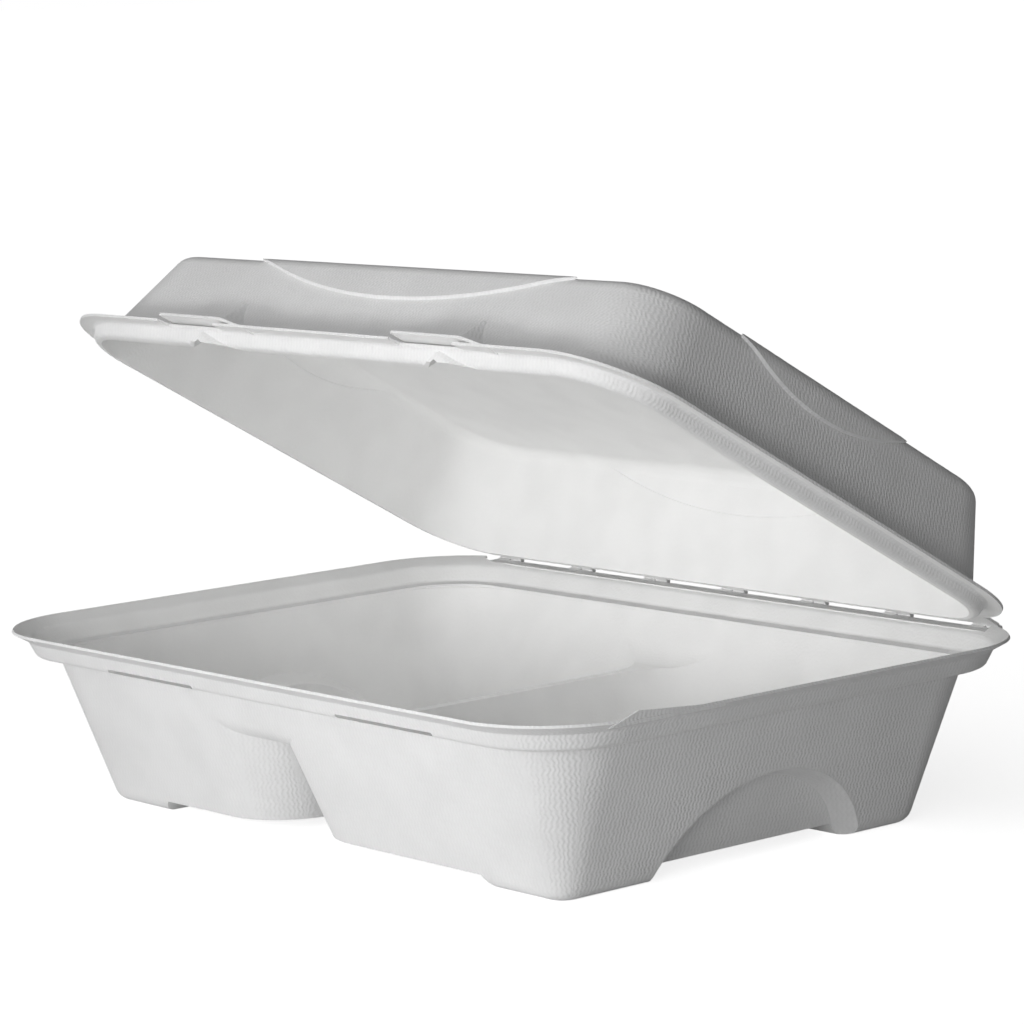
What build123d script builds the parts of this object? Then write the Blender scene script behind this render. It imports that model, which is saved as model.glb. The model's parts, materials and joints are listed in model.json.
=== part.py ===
import math
import os

from build123d import *

os.makedirs("parts", exist_ok=True)

# Overall sizes over the trimmed lips
width = 228.6
depth = 167.4
base_height = 46.6
lid_rise = 26.8
lip_corner = 28.0
wall = 0.7
overrun = 8.0

# Base rim: the lip flares up and out, the collar stands under it, the ledge runs in to the wall
lip_width = 4.0
lip_rise = 2.6
collar_width = 2.2
collar_drop = 4.6
ledge_width = 4.5
rim_round = 1.4

# Trim of the base lip: a scoop off each back corner, and a stray rise left on the right side
scoop_reach = 20.0
scoop_sag = 3.2
stray_rise = 1.4
stray_step = 9.0
stray_length = 27.0

# Base tub and its two compartments
draft_share = 0.36
wall_corner = 20.0
floor_round = 4.5
divider_height = 27.2
divider_offset = -11.0
divider_top = 3.0
divider_draft_share = 0.2
divider_corner = 18.0
divider_blend = 7.0
foot_height = 3.2
foot_reach = 24.0
end_foot_reach = 27.0

# Arched recess in each end wall
arch_radius = 33.0
arch_height = 21.8
arch_depth = 5.0
arch_taper = 40.0
arch_offset = 3.5

# Lid rim: a level lip that nests in the base lip, then a shallow plug
lid_inset = 3.0
lid_front_inset = 4.0
lid_lip_width = 4.6
lid_lip_lift = 0.4
plug_width = 2.6
plug_lean_share = 0.35
plug_drop = 3.2

# Lid cover, leaning back a little so that its front is the most sloped
end_draft_share = 0.205
side_draft_share = 0.30
cover_lean = 2.2
cover_corner = 16.5
cover_round = 4.5
swell_width = 0.8
swell_rise = 0.3
swell_fill = 0.5
swell_taper = 30.0
swell_reach = 9.0
front_swell_inset = 53.2
front_swell_offset = 7.2
front_swell_sag = 12.0
end_swell_inset = 52.0
end_swell_offset = -5.0
end_swell_sag = 9.0

# Two front locks: a raised tab in the lid lip over a slit at the foot of the base collar
lock_inset = 67.8
lock_offset = 4.0
lock_length = 36.0
slit_width = 1.0
tab_lift = 2.0
tab_straight_share = 0.65
gusset_left = 16.0
gusset_right = 32.0
gusset_tip_offset = -4.0
gusset_apex_offset = -1.0
gusset_height = 11.2
gusset_top_share = 0.06

# Perforated fold along the back
fold_overhang = 2.4
fold_drop = 1.3
fold_end_inset = 18.3
fold_offset = -2.5
fold_radius = 0.7
fold_gap = 0.3
slot_count = 6
bridge_length = 9.0
open_angle = 29.6

# Places that follow from the sizes above
level_share = math.hypot(1, draft_share)
half_width = width / 2
half_depth = depth / 2
ledge_inset = lip_width + collar_width
wall_inset = ledge_inset + ledge_width
lip_root = base_height - lip_rise
lip_slope = (lip_rise - wall / 2) / lip_width
ledge_height = lip_root - collar_drop
fold_back = half_depth + fold_overhang
fold_height = base_height - fold_drop
fold_length = width - 2 * fold_end_inset
plate_edge = fold_back - fold_radius - fold_gap
plate_level = fold_height - fold_gap / 2 - wall / 2
plate_root = half_depth - (base_height - wall / 2 - plate_level) / lip_slope - wall
seam = fold_height + fold_gap / 2
lid_half_width = half_width - lid_inset
lid_back = half_depth - lid_inset
lid_front = lid_front_inset - half_depth
lid_middle = (lid_front + lid_back) / 2
lid_half_depth = (lid_back - lid_front) / 2
cover_inset = lid_lip_width + plug_width
cover_foot = seam - plug_drop
cover_head = seam + lid_rise
lock_pitch = width - 2 * lock_inset
tab_start = -lock_length / 2
tab_turn = tab_start + tab_straight_share * lock_length
slot_pitch = (fold_length - bridge_length) / slot_count
web_length = (bridge_length - fold_gap) / 2
bridge_places = [fold_offset + (number - slot_count / 2) * slot_pitch for number in range(slot_count + 1)]
base_webs = [place - bridge_length / 2 for place in bridge_places]
lid_webs = [place + fold_gap / 2 for place in bridge_places]


def rim(profile, half_x, half_y, middle, corner):
    """Thin rim of one wall thickness, its profile carried round a lip edge with rounded corners."""
    across = Plane.XZ.offset(-middle)
    with BuildPart() as ring:
        with BuildLine() as run:
            FilletPolyline(
                (half_x, middle),
                (half_x, middle + half_y),
                (-half_x, middle + half_y),
                (-half_x, middle),
                radius=corner,
            )
        with BuildSketch(across):
            with BuildLine():
                FilletPolyline(*profile, radius=rim_round)
            trace(line_width=wall)
        sweep(path=run.wire())
        mirror(about=across)
    return ring.part


def wall_half(span, height, skin):
    """Half the size across the drafted base walls at a height, less a skin measured square to them."""
    return span / 2 - wall_inset - draft_share * (ledge_height - height) - skin * level_share


def divider_half(height, skin):
    """Half the width of the channel under the divider at a height, plus a skin."""
    drop = divider_height - height
    return divider_top / 2 - wall + divider_draft_share * drop + skin


def wall_round(height, skin):
    """Corner radius of the base walls at a height: each section is an even offset of the next."""
    return wall_corner - draft_share * (ledge_height - height) - skin * level_share


def compartment(side, height, skin):
    """Section of one compartment at a height, with its own rounding next to the divider."""
    outer = side * wall_half(width, height, skin)
    inner = divider_offset + side * divider_half(height, skin)
    with BuildSketch(Plane(((outer + inner) / 2, 0, height))) as section:
        Rectangle(abs(outer - inner), 2 * wall_half(depth, height, skin))
        columns = section.vertices().group_by(Axis.X)
        fillet(columns[-1] if side > 0 else columns[0], wall_round(height, skin))
        columns = section.vertices().group_by(Axis.X)
        fillet(columns[0] if side > 0 else columns[-1], divider_corner - skin)
    return section.sketch


def saddle(skin, roof, head):
    """Room over the divider, whose top sweeps up into the front and back walls."""
    brink = wall_half(depth, roof, skin)
    lean = brink + draft_share * overrun
    with BuildPart() as room:
        for height in (roof - wall, head):
            with BuildSketch(Plane.XY.offset(height)):
                RectangleRounded(
                    2 * wall_half(width, height, skin),
                    2 * wall_half(depth, height, skin),
                    wall_round(height, skin),
                )
        loft(ruled=True)
        with BuildSketch(Plane.YZ):
            with BuildLine():
                top = FilletPolyline(
                    (0, roof),
                    (brink, roof),
                    (lean, roof + overrun),
                    radius=divider_blend + wall - skin,
                )
                Polyline(
                    top @ 1,
                    (lean + overrun, roof + overrun),
                    (lean + overrun, roof - overrun),
                    (0, roof - overrun),
                    top @ 0,
                )
            make_face()
            mirror(about=Plane.YZ)
        extrude(amount=width, both=True, mode=Mode.SUBTRACT)
    return room.part


def tub(skin, head):
    """Base walls, compartments, feet and arches as a solid, set in by a skin."""
    roof = divider_height - wall + skin
    crest = divider_height + divider_blend
    with BuildPart() as form:
        for side in (-1, 1):
            add(compartment(side, skin, skin))
            add(compartment(side, crest, skin))
            loft(ruled=True)
        fillet(form.edges().group_by(Axis.Z)[0], floor_round - skin)
        add(saddle(skin, roof, head))

        # The floor and the foot of each wall stand raised between the four corner feet
        step = skin * math.sqrt(2)
        rise = foot_height + skin
        for plane, span, reach, shift in (
            (Plane.XZ, width, foot_reach, 0),
            (Plane.YZ, depth, end_foot_reach, arch_offset),
        ):
            half = wall_half(span, 0, 0) - reach + step
            with BuildSketch(plane):
                with BuildLine():
                    Polyline(
                        (shift + half + overrun, -overrun),
                        (shift + half - rise, rise),
                        (shift - half + rise, rise),
                        (shift - half - overrun, -overrun),
                        close=True,
                    )
                make_face()
            extrude(amount=width, both=True, mode=Mode.SUBTRACT)

        # Arched recess in each end wall, cut square to the drafted wall
        for side in (-1, 1):
            floor_place = side * wall_half(width, 0, arch_depth + skin)
            recess = Plane(
                origin=(floor_place, 0, 0),
                x_dir=(0, side, 0),
                z_dir=(side, 0, -draft_share),
            )
            with BuildSketch(recess):
                with Locations((side * arch_offset, arch_height - arch_radius)):
                    Circle(arch_radius + skin)
            extrude(amount=arch_depth + overrun, taper=-arch_taper, mode=Mode.SUBTRACT)
    return form.part


def cover_half(half, share, height, skin):
    """Half the size across two lid walls at a height, less a skin measured square to them."""
    return half - cover_inset - share * (height - cover_foot) - skin * math.hypot(1, share)


def cover_middle(height):
    """Middle of the leaning lid cover at a height, front to back."""
    return lid_middle + cover_lean * (height - cover_foot) / (cover_head - cover_foot)


def flared_box(foot, head, skin):
    """Flared lid body between two heights with a rounded top edge, set in by a skin."""
    with BuildPart() as body:
        for height in (foot, head):
            with BuildSketch(Plane((0, cover_middle(height), height))):
                RectangleRounded(
                    2 * cover_half(lid_half_width, end_draft_share, height, skin),
                    2 * cover_half(lid_half_depth, side_draft_share, height, skin),
                    cover_corner - skin,
                )
        loft(ruled=True)
        fillet(body.edges().group_by(Axis.Z)[-1], cover_round - max(skin, 0))
    return body.part


def swell(turn, middle, edge, share, length, sag, skin):
    """Crescent swelling with sloped sides over one top edge of the lid, an edge distance from the middle."""
    radius = (length**2 / 4 + sag**2) / (2 * sag)
    top_radius = (length**2 / 4 + swell_reach**2) / (2 * swell_reach)
    out = Vector(math.cos(math.radians(turn)), math.sin(math.radians(turn)))
    along = Vector(-out.Y, out.X)
    centre = Vector(0, cover_middle(cover_head), cover_head)
    brink = centre + out * edge + Vector(abs(along.X), abs(along.Y)) * middle
    wall_plane = Plane(origin=brink, x_dir=along, z_dir=out + Vector(0, 0, share)).offset(-overrun)
    flare = overrun * math.tan(math.radians(swell_taper))
    top_plane = Plane(origin=brink, x_dir=along, z_dir=Vector(0, 0, 1))
    with BuildPart() as bulge:
        add(flared_box(cover_foot, cover_head + swell_rise - skin, skin - swell_width))
        with BuildSketch(wall_plane):
            with Locations((0, radius - sag)):
                Circle(radius - skin + flare)
        extrude(amount=2 * overrun, taper=swell_taper, mode=Mode.INTERSECT)
        with BuildSketch(top_plane):
            with Locations((0, swell_reach - top_radius)):
                Circle(top_radius - skin)
        extrude(amount=width, both=True, mode=Mode.INTERSECT)
    return bulge.part


def gusset(place, skin):
    """Pyramid that carries the lid wall out over one lock tab, its apex leaning to the left."""
    top = seam + gusset_height - skin
    with BuildPart() as wedge:
        for height, share, shift in ((cover_foot - skin, 1, 0), (top, gusset_top_share, gusset_apex_offset)):
            wall_line = cover_middle(height) - cover_half(lid_half_depth, side_draft_share, height, 0)
            lip_line = lid_front + lid_lip_width / 2
            front = skin + (lip_line if share == 1 else wall_line - wall)
            back = wall_line + lid_lip_width
            with BuildSketch(Plane((place + shift, 0, height))):
                with BuildLine():
                    Polyline(
                        ((skin - gusset_left) * share, back),
                        (gusset_tip_offset * share, front),
                        ((gusset_right - skin) * share, back),
                        close=True,
                    )
                make_face()
        loft(ruled=True)
    return wedge.part


def cover(skin):
    """Lid walls, top, swellings and gussets as a solid in the shut place, set in by a skin."""
    foot = cover_foot - (overrun if skin else 0)
    fill = skin + (swell_fill if skin else 0)
    end_edge = cover_half(lid_half_width, end_draft_share, cover_head, 0)
    front_edge = cover_half(lid_half_depth, side_draft_share, cover_head, 0)
    end_shape = (end_draft_share, depth - 2 * end_swell_inset, end_swell_sag)
    front_shape = (side_draft_share, width - 2 * front_swell_inset, front_swell_sag)
    with BuildPart() as form:
        add(flared_box(foot, cover_head - skin, skin))
        for turn in (0, 180):
            add(swell(turn, end_swell_offset, end_edge, *end_shape, fill))
        for turn in (90, 270):
            add(swell(turn, front_swell_offset, front_edge, *front_shape, fill))
        for side in (-1, 1):
            add(gusset(lock_offset + side * lock_pitch / 2, skin))
    return form.part


def lock_tab():
    """Front view of one raised tab: a straight run cut off at the left, falling to the lip at the right."""
    with BuildSketch() as section:
        with BuildLine():
            Line((tab_start, tab_lift), (tab_turn, tab_lift))
            Spline((tab_turn, tab_lift), (-tab_start, wall / 2), tangents=((1, 0), (1, 0)))
        trace(line_width=wall)
    return section.sketch


def fold_web(inner):
    """Section of one bridge of the fold: a bead on the fold line and a web that runs in to a lip."""
    with BuildSketch() as section:
        with BuildLine():
            Line(inner, (fold_back, fold_height))
        trace(line_width=wall)
        with Locations((fold_back, fold_height)):
            Circle(fold_radius)
    return section.sketch


base_profile = (
    (half_width, base_height - wall / 2),
    (half_width - lip_width, lip_root),
    (half_width - ledge_inset, ledge_height + wall / 2),
    (half_width - wall_inset - wall, ledge_height + wall / 2),
)
base_rim = rim(base_profile, half_width, half_depth, 0, lip_corner)
tub_outside = tub(0, ledge_height)
tub_inside = tub(wall, ledge_height + overrun)
base_web = fold_web((plate_edge - wall, plate_level))

with BuildPart() as upright_base:
    add(tub_outside)
    add(tub_inside, mode=Mode.SUBTRACT)
    add(base_rim)

    # Lock slits through the foot of the front collar
    with BuildSketch(Plane.XZ.offset(half_depth - lip_width)):
        with Locations((lock_offset, ledge_height + wall)):
            with GridLocations(lock_pitch, 0, 2, 1):
                SlotOverall(lock_length, slit_width)
    extrude(amount=-ledge_inset, mode=Mode.SUBTRACT)

    # The trim takes a shallow scoop off the lip at each back corner
    for side in (-1, 1):
        near = (fold_offset + side * (fold_length / 2 + fold_gap), half_depth)
        far = (side * half_width, half_depth - scoop_reach)
        with BuildSketch(Plane.XY.offset(ledge_height + wall)):
            with BuildLine():
                SagittaArc(near, far, side * scoop_sag)
                Polyline(
                    far,
                    (side * (half_width + overrun), half_depth - scoop_reach),
                    (side * (half_width + overrun), half_depth + overrun),
                    (near[0], half_depth + overrun),
                    near,
                )
            make_face()
        extrude(amount=base_height, mode=Mode.SUBTRACT)

    # On the right side the trim has left the lip standing a little high behind the front corner
    stray_start = lip_corner - half_depth
    with BuildSketch(Plane.YZ.offset(half_width - wall)):
        with BuildLine():
            Polyline(
                (stray_start - stray_step, base_height - 2 * wall),
                (stray_start, base_height + stray_rise),
                (stray_start + stray_length, base_height - wall),
                (stray_start + stray_length, base_height - 2 * wall),
                close=True,
            )
        make_face()
    extrude(amount=wall)

    # Along the fold the back lip is trimmed level and runs out as a flat strip
    with BuildSketch(Plane((fold_offset, half_depth, fold_height - fold_gap / 2))):
        Rectangle(fold_length + 2 * fold_gap, 2 * lip_width)
    extrude(amount=overrun, mode=Mode.SUBTRACT)
    with BuildSketch(Plane((fold_offset, (plate_root + plate_edge) / 2, plate_level))):
        Rectangle(fold_length, plate_edge - plate_root)
    extrude(amount=wall / 2, both=True)
    with BuildSketch(*[Plane.YZ.offset(place) for place in base_webs]):
        add(base_web)
    extrude(amount=web_length)

lid_profile = (
    (lid_half_width, seam + wall / 2),
    (lid_half_width - lid_lip_width, seam + wall / 2 + lid_lip_lift),
    (lid_half_width - lid_lip_width - plug_width * plug_lean_share, cover_foot + wall / 2),
    (lid_half_width - cover_inset - wall, cover_foot + wall / 2),
)
lid_rim = rim(lid_profile, lid_half_width, lid_half_depth, lid_middle, lip_corner - lid_inset)
cover_outside = cover(0)
cover_inside = cover(wall)
lid_web = fold_web((plate_edge - wall, seam + wall / 2))
tab = lock_tab()

with BuildPart() as shut_lid:
    add(cover_outside)
    add(lid_rim)
    add(cover_inside, mode=Mode.SUBTRACT)

    # At each lock the lip is left out under the gusset, and a raised tab takes its place
    lock_middle = lock_offset + (tab_start + tab_turn) / 2
    with BuildSketch(Plane((lock_middle, lid_front, seam + tab_lift))):
        with GridLocations(lock_pitch, 0, 2, 1):
            Rectangle(tab_turn - tab_start, 2 * (lid_lip_width - wall))
    extrude(amount=-tab_lift - overrun, mode=Mode.SUBTRACT)
    with BuildSketch(Plane.XZ.offset(-lid_front)):
        with Locations((lock_offset, seam)):
            with GridLocations(lock_pitch, 0, 2, 1):
                add(tab)
    extrude(amount=-lid_lip_width - wall)

    # The back lip runs out as the other strip of the fold, with the other half of each bridge
    with BuildSketch(Plane((fold_offset, (lid_back + plate_edge) / 2, seam))):
        Rectangle(fold_length, plate_edge - lid_back)
        with Locations((0, -wall)):
            Rectangle(fold_length, plate_edge - lid_back)
    extrude(amount=wall)
    with BuildSketch(*[Plane.YZ.offset(place) for place in lid_webs]):
        add(lid_web)
    extrude(amount=web_length)

fold_axis = Axis((0, fold_back, fold_height), (1, 0, 0))
open_lid = shut_lid.part.rotate(fold_axis, -open_angle)

# The origin stands under the middle of the container as it lies open
middle = (upright_base.part.bounding_box().min.Y + open_lid.bounding_box().max.Y) / 2
shift = Location((0, -middle, 0))
with BuildPart() as base:
    add(upright_base.part.moved(shift))
base.part.label = "base"
export_step(base.part, "parts/base.step")

with BuildPart() as lid:
    add(open_lid.moved(shift))
lid.part.label = "lid"
export_step(lid.part, "parts/lid.step")
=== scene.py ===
"""Studio scene for a moulded pulp clamshell food container, in metres."""
import json
import math

import bpy
from mathutils import Matrix, Vector

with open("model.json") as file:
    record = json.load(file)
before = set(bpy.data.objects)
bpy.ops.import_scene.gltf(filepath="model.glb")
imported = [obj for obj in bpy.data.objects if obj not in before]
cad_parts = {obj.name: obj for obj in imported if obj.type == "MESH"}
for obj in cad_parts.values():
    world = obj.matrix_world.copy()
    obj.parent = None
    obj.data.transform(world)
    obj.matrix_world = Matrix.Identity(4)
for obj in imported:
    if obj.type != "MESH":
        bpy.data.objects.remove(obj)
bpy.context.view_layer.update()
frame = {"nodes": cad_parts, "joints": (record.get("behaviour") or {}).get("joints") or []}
nodes = frame["nodes"]
hinge = frame["joints"][0]

# Angle the lid stands open at rest
OPEN_ANGLE = 29.6

# Camera: where the photograph was taken from, with its lens for a square picture
CAMERA_PLACE = (0.76102, -0.64332, 0.21529)
CAMERA_YAW = 49.57
CAMERA_PITCH = 7.93
CAMERA_ROLL = -1.93
CAMERA_LENS = 139.73
SENSOR = 36.0
CAMERA_NEAR = 0.01

# Light: a room whose strength falls off from this direction, and soft boxes that fill the opening
ROOM_FRONT = (0.0, -0.94, 0.14)
FILL_BOXES = {
    "front_fill": {
        "size": (0.30, 0.05),
        "power": 0.042,
        "spread": 50.0,
        "place": (0.0, -0.32, 0.092),
        "aim": (0, 1, -0.04),
    },
    "low_fill": {
        "size": (0.40, 0.06),
        "power": 0.03,
        "spread": 60.0,
        "place": (0.0, -0.62, 0.035),
        "aim": (0, 1, 0.13),
    },
    "right_fill": {
        "size": (0.20, 0.08),
        "power": 0.042,
        "spread": 50.0,
        "place": (0.30, -0.38, 0.10),
        "aim": (-0.62, 0.78, -0.03),
    },
}
FLOOR_SIZE = 40.0
FLOOR_COLOUR = (0.9, 0.9, 0.9, 1.0)
FLOOR_LIFT = 0.80

# Pulp: colours of its two faces, which blend where a face is edge on to the hollow; the inside colour is
# painted lighter, painted light for the bright hollow
OUTSIDE_COLOUR = (0.87, 0.87, 0.87, 1.0)
INSIDE_PULP_PAINTED_LIGHTER = (0.93, 0.93, 0.925, 1.0)
SIDE_BLEND = 0.002
PULP_ROUGHNESS = 0.9
PULP_SPECULAR = 0.15

# Print of the forming screen outside: uneven zigzag columns, broken into dashes
COLUMN_PITCH = 0.00122
ROW_PITCH = 0.00100
ZIGZAG = 0.00042
DASH_DEPTH = 0.25
SCREEN_HEIGHT = 0.000038
# Painted shade: the recessed lines of the print are darkened in the colour
PRINT_PAINTED_SHADE = 0.02
WOBBLE_SCALE = 260.0
WOBBLE = 0.0009

# Where the print turns: at the corners of the walls, and on faces that lie flat
CORNER_SHARE = 0.414
CORNER_FADE = 0.06
LEAST_SLOPE = 0.001
FLAT_SLOPE = 0.8

# Fibre grain on both faces
FIBRE_SCALE = 1500.0
GRAIN_HEIGHT = 0.000050

# Mottling and specks of unbleached fibre
SPECK_COLOUR = (0.30, 0.29, 0.27, 1.0)
CLOUD_SCALE = 70.0
CLOUD_RANGE = (0.3, 0.7)
CLOUD_TONES = (0.98, 1.015)
SPECK_SCALE = 55.0
SPECK_RANGE = (0.010, 0.018)
SPECK_RARITY = 0.93
SPECK_STRENGTH = 0.7

# Places inside the hollow of each piece when shut
BASE_HOLLOW = (0, 0, 0.03)
LID_HOLLOW = (0, 0, 0.025)


class Graph:
    """Short hand for building a node tree out of sockets and plain values."""

    def __init__(self, tree):
        self.tree = tree

    def node(self, kind, **options):
        made = self.tree.nodes.new("ShaderNode" + kind)
        for name, value in options.items():
            setattr(made, name, value)
        return made

    def feed(self, socket, value):
        if isinstance(value, bpy.types.NodeSocket):
            self.tree.links.new(value, socket)
        else:
            socket.default_value = value

    def math(self, operation, *values):
        made = self.node("Math", operation=operation)
        for socket, value in zip(made.inputs, values):
            self.feed(socket, value)
        return made.outputs["Value"]

    def vector(self, operation, *values):
        made = self.node("VectorMath", operation=operation)
        for socket, value in zip(made.inputs, values):
            self.feed(socket, value)
        return made.outputs["Value" if operation == "DOT_PRODUCT" else "Vector"]

    def ramp(self, value, low, high, start=0.0, end=1.0):
        made = self.node("MapRange", interpolation_type="SMOOTHSTEP")
        for name, number in (("From Min", low), ("From Max", high), ("To Min", start), ("To Max", end)):
            made.inputs[name].default_value = number
        self.feed(made.inputs["Value"], value)
        return made.outputs["Result"]

    def noise(self, place, scale, detail=2.0):
        made = self.node("TexNoise")
        made.inputs["Scale"].default_value = scale
        made.inputs["Detail"].default_value = detail
        self.feed(made.inputs["Vector"], place)
        return made.outputs["Fac"]

    def blend(self, share, first, second):
        made = self.node("Mix", data_type="RGBA")
        self.feed(made.inputs["Factor"], share)
        colours = [socket for socket in made.inputs if socket.type == "RGBA"]
        self.feed(colours[0], first)
        self.feed(colours[1], second)
        return [socket for socket in made.outputs if socket.type == "RGBA"][0]


def weave(graph, across, along):
    """Height of zigzag columns, broken into short dashes."""
    sway = graph.math("MULTIPLY", graph.math("PINGPONG", along, ROW_PITCH), ZIGZAG / ROW_PITCH)
    swayed = graph.math("ADD", across, sway)
    columns = graph.math("SINE", graph.math("MULTIPLY", swayed, math.tau / COLUMN_PITCH))
    dashes = graph.math("COSINE", graph.math("MULTIPLY", along, math.tau / ROW_PITCH))
    return graph.math("MULTIPLY", columns, graph.math("MULTIPLY_ADD", dashes, DASH_DEPTH, 1 - DASH_DEPTH))


def round_the_walls(graph, spots, normal):
    """Distance along the walls: along X at front and back, along Y at the ends, slanting at the corners."""
    along_x, along_y = (graph.math("ABSOLUTE", normal.outputs[axis]) for axis in (1, 0))
    least = graph.math("MINIMUM", along_x, along_y)
    most = graph.math("MAXIMUM", along_x, along_y)
    share = graph.math("DIVIDE", least, graph.math("MAXIMUM", most, LEAST_SLOPE))
    corner = graph.math("GREATER_THAN", share, CORNER_SHARE)
    end = graph.math("GREATER_THAN", along_y, along_x)
    x, y = spots.outputs[0], spots.outputs[1]
    straight = graph.math("ADD", x, graph.math("MULTIPLY", end, graph.math("SUBTRACT", y, x)))
    first = graph.math("MULTIPLY", graph.math("SIGN", normal.outputs[0]), y)
    second = graph.math("MULTIPLY", graph.math("SIGN", normal.outputs[1]), x)
    slant = graph.math("MULTIPLY", graph.math("SUBTRACT", first, second), math.sqrt(0.5))
    shift = graph.math("MULTIPLY", corner, graph.math("SUBTRACT", slant, straight))
    across = graph.math("ADD", straight, shift)
    seam = graph.math("ABSOLUTE", graph.math("SUBTRACT", share, CORNER_SHARE))
    return across, graph.ramp(seam, 0.0, CORNER_FADE)


def pulp_material(name, middle, tilt):
    """Matte pulp: tilt undoes the open angle of a piece, and middle lies inside its hollow."""
    material = bpy.data.materials.new(name)
    material.use_nodes = True
    graph = Graph(material.node_tree)
    shader = material.node_tree.nodes["Principled BSDF"]
    shader.inputs["Roughness"].default_value = PULP_ROUGHNESS
    shader.inputs["Specular IOR Level"].default_value = PULP_SPECULAR

    source = graph.node("TexCoord")
    place = source.outputs["Object"]
    facing = source.outputs["Normal"]
    outward = graph.vector("DOT_PRODUCT", facing, graph.vector("SUBTRACT", place, middle))
    outside = graph.ramp(outward, -SIDE_BLEND, SIDE_BLEND)

    # The screen print is laid out on the piece as it stands when shut
    level = graph.node("Mapping")
    level.inputs["Rotation"].default_value = (tilt, 0, 0)
    graph.feed(level.inputs["Vector"], place)
    turned = graph.node("Mapping", vector_type="VECTOR")
    turned.inputs["Rotation"].default_value = (tilt, 0, 0)
    graph.feed(turned.inputs["Vector"], facing)
    shaken = graph.vector("MULTIPLY", graph.noise(place, WOBBLE_SCALE, 0.0), (WOBBLE, WOBBLE, WOBBLE))
    spots = graph.node("SeparateXYZ")
    graph.feed(spots.inputs[0], graph.vector("ADD", level.outputs[0], shaken))
    normal = graph.node("SeparateXYZ")
    graph.feed(normal.inputs[0], turned.outputs[0])
    across, fade = round_the_walls(graph, spots, normal)

    # Flat faces are printed along X and Y instead
    x, y, z = spots.outputs
    flat = graph.math("GREATER_THAN", graph.math("ABSOLUTE", normal.outputs[2]), FLAT_SLOPE)
    across = graph.math("MULTIPLY_ADD", flat, graph.math("SUBTRACT", x, across), across)
    along = graph.math("MULTIPLY_ADD", flat, graph.math("SUBTRACT", y, z), z)
    shown = graph.math("MULTIPLY", graph.math("MAXIMUM", fade, flat), outside)
    print_height = graph.math("MULTIPLY", weave(graph, across, along), shown)
    screen = graph.math("MULTIPLY", print_height, SCREEN_HEIGHT)
    fibres = graph.math("SUBTRACT", graph.noise(place, FIBRE_SCALE, 0.0), 0.5)
    grain = graph.math("MULTIPLY", fibres, GRAIN_HEIGHT)
    bump = graph.node("Bump")
    bump.inputs["Strength"].default_value = 1.0
    bump.inputs["Distance"].default_value = 1.0
    graph.feed(bump.inputs["Height"], graph.math("ADD", screen, grain))
    graph.feed(shader.inputs["Normal"], bump.outputs["Normal"])

    # Faint mottling, painted shade in the recesses of the print, and a few specks of unbleached fibre
    # The inside face is painted lighter than the outside: painted light standing in for the light in the
    # hollow
    face_with_painted_light = graph.blend(outside, INSIDE_PULP_PAINTED_LIGHTER, OUTSIDE_COLOUR)
    cloud = graph.ramp(graph.noise(place, CLOUD_SCALE, 1.0), *CLOUD_RANGE, *CLOUD_TONES)
    mottle_and_painted_shade = graph.math("MULTIPLY_ADD", print_height, PRINT_PAINTED_SHADE, cloud)
    tone = graph.node("VectorMath", operation="SCALE")
    graph.feed(tone.inputs[0], face_with_painted_light)
    graph.feed(tone.inputs["Scale"], mottle_and_painted_shade)
    flecks = graph.node("TexVoronoi")
    flecks.inputs["Scale"].default_value = SPECK_SCALE
    graph.feed(flecks.inputs["Vector"], place)
    pick = graph.node("SeparateXYZ")
    graph.feed(pick.inputs[0], flecks.outputs["Color"])
    chosen = graph.math("GREATER_THAN", pick.outputs[0], SPECK_RARITY)
    spot = graph.ramp(flecks.outputs["Distance"], *SPECK_RANGE, SPECK_STRENGTH, 0.0)
    dot = graph.math("MULTIPLY", spot, chosen)
    graph.feed(shader.inputs["Base Color"], graph.blend(dot, tone.outputs[0], SPECK_COLOUR))
    return material


def make_camera():
    yaw, pitch, roll = (math.radians(angle) for angle in (CAMERA_YAW, CAMERA_PITCH, CAMERA_ROLL))
    ahead = Vector((-math.sin(yaw) * math.cos(pitch), math.cos(yaw) * math.cos(pitch), -math.sin(pitch)))
    level_right = Vector((math.cos(yaw), math.sin(yaw), 0))
    level_up = level_right.cross(ahead)
    right = level_right * math.cos(roll) + level_up * math.sin(roll)
    up = level_up * math.cos(roll) - level_right * math.sin(roll)
    data = bpy.data.cameras.new("camera")
    data.lens = CAMERA_LENS
    data.sensor_width = SENSOR
    data.clip_start = CAMERA_NEAR
    camera = bpy.data.objects.new("camera", data)
    turn = Matrix((right, up, -ahead)).transposed().to_4x4()
    camera.matrix_world = Matrix.Translation(CAMERA_PLACE) @ turn
    bpy.context.scene.collection.objects.link(camera)
    bpy.context.scene.camera = camera


def seen_directly(tree):
    """Socket that is 1 for rays that show the background and 0 for rays that light the object."""
    rays = tree.nodes.new("ShaderNodeLightPath")
    seen = rays.outputs["Is Camera Ray"]
    for other in ("Is Glossy Ray", "Is Transmission Ray"):
        either = tree.nodes.new("ShaderNodeMath")
        either.operation = "MAXIMUM"
        tree.links.new(seen, either.inputs[0])
        tree.links.new(rays.outputs[other], either.inputs[1])
        seen = either.outputs[0]
    return seen


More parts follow.
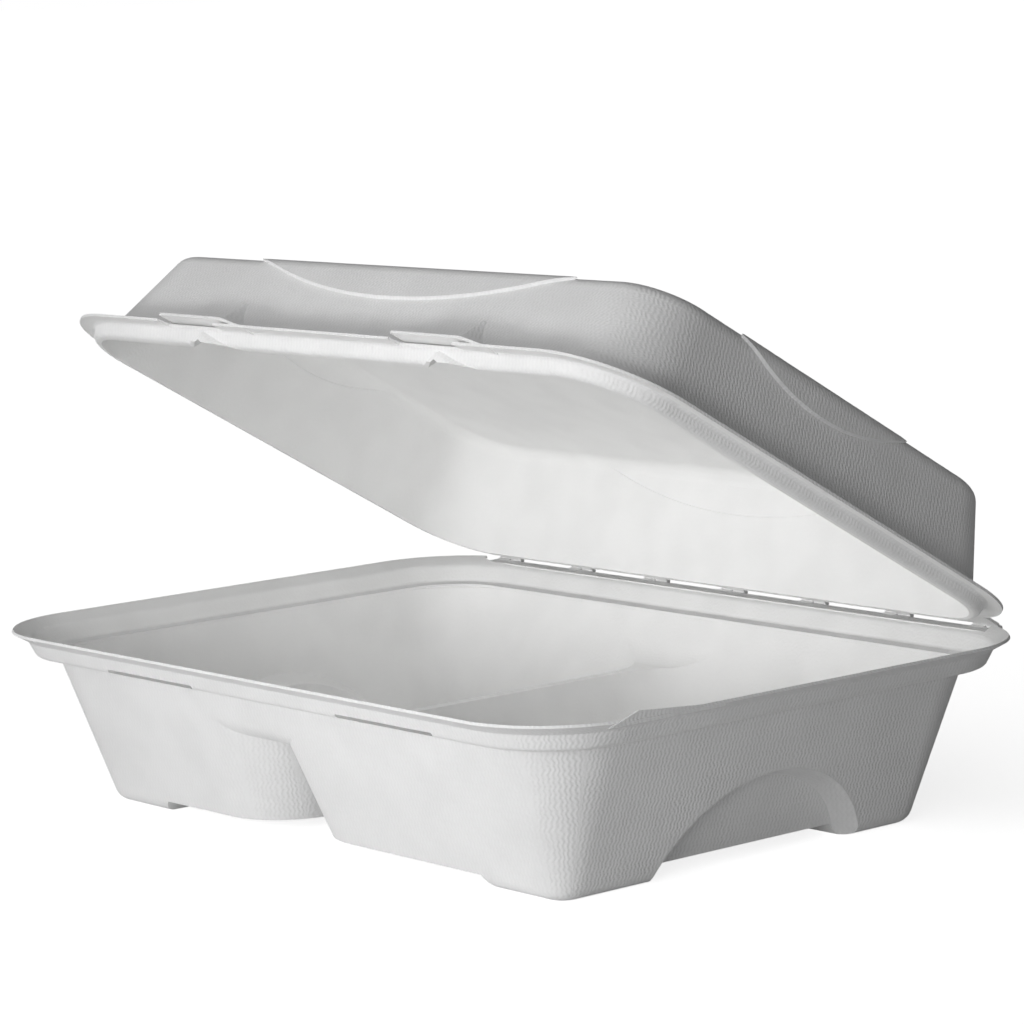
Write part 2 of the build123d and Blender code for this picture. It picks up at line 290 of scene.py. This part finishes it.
def make_light():
    for name, box in FILL_BOXES.items():
        data = bpy.data.lights.new(name, "AREA")
        data.shape = "RECTANGLE"
        data.size, data.size_y = box["size"]
        data.energy = box["power"]
        data.spread = math.radians(box["spread"])
        lamp = bpy.data.objects.new(name, data)
        lamp.location = box["place"]
        lamp.rotation_euler = Vector(box["aim"]).to_track_quat("-Z", "Y").to_euler()
        lamp.visible_camera = False
        bpy.context.scene.collection.objects.link(lamp)

    world = bpy.data.worlds.new("room")
    bpy.context.scene.world = world
    world.use_nodes = True
    graph = Graph(world.node_tree)
    shine = world.node_tree.nodes["Background"]
    shine.inputs["Color"].default_value = (1, 1, 1, 1)
    way = graph.node("TexCoord").outputs["Generated"]
    front = graph.math("MAXIMUM", graph.vector("DOT_PRODUCT", way, ROOM_FRONT), 0.0)
    seen = seen_directly(world.node_tree)
    lit = graph.math("MULTIPLY", front, graph.math("SUBTRACT", 1.0, seen))
    graph.feed(shine.inputs["Strength"], graph.math("ADD", lit, seen))


def make_floor():
    """Plain pale floor that shows white and keeps the object's soft shadow."""
    mesh = bpy.data.meshes.new("floor")
    half = FLOOR_SIZE / 2
    corners = [(-half, -half, 0), (half, -half, 0), (half, half, 0), (-half, half, 0)]
    mesh.from_pydata(corners, [], [(0, 1, 2, 3)])
    floor = bpy.data.objects.new("floor", mesh)
    bpy.context.scene.collection.objects.link(floor)
    material = bpy.data.materials.new("floor")
    material.use_nodes = True
    tree = material.node_tree
    shader = tree.nodes["Principled BSDF"]
    shader.inputs["Base Color"].default_value = FLOOR_COLOUR
    shader.inputs["Roughness"].default_value = 1.0
    shader.inputs["Specular IOR Level"].default_value = 0.0
    shader.inputs["Emission Color"].default_value = (1, 1, 1, 1)
    glow = tree.nodes.new("ShaderNodeMath")
    glow.operation = "MULTIPLY"
    glow.inputs[1].default_value = FLOOR_LIFT
    tree.links.new(seen_directly(tree), glow.inputs[0])
    tree.links.new(glow.outputs[0], shader.inputs["Emission Strength"])
    mesh.materials.append(material)


fold = Vector(hinge["pos_m"])
open_angle = math.radians(OPEN_ANGLE)
lid_hollow = fold + Matrix.Rotation(-open_angle, 3, "X") @ (Vector(LID_HOLLOW) - fold)
for name, place, tilt in (("base", Vector(BASE_HOLLOW), 0.0), ("lid", lid_hollow, open_angle)):
    mesh = nodes[name].data
    mesh.materials.clear()
    mesh.materials.append(pulp_material("pulp_" + name, place, tilt))

make_camera()
make_light()
make_floor()
bpy.context.scene.view_settings.view_transform = "Standard"
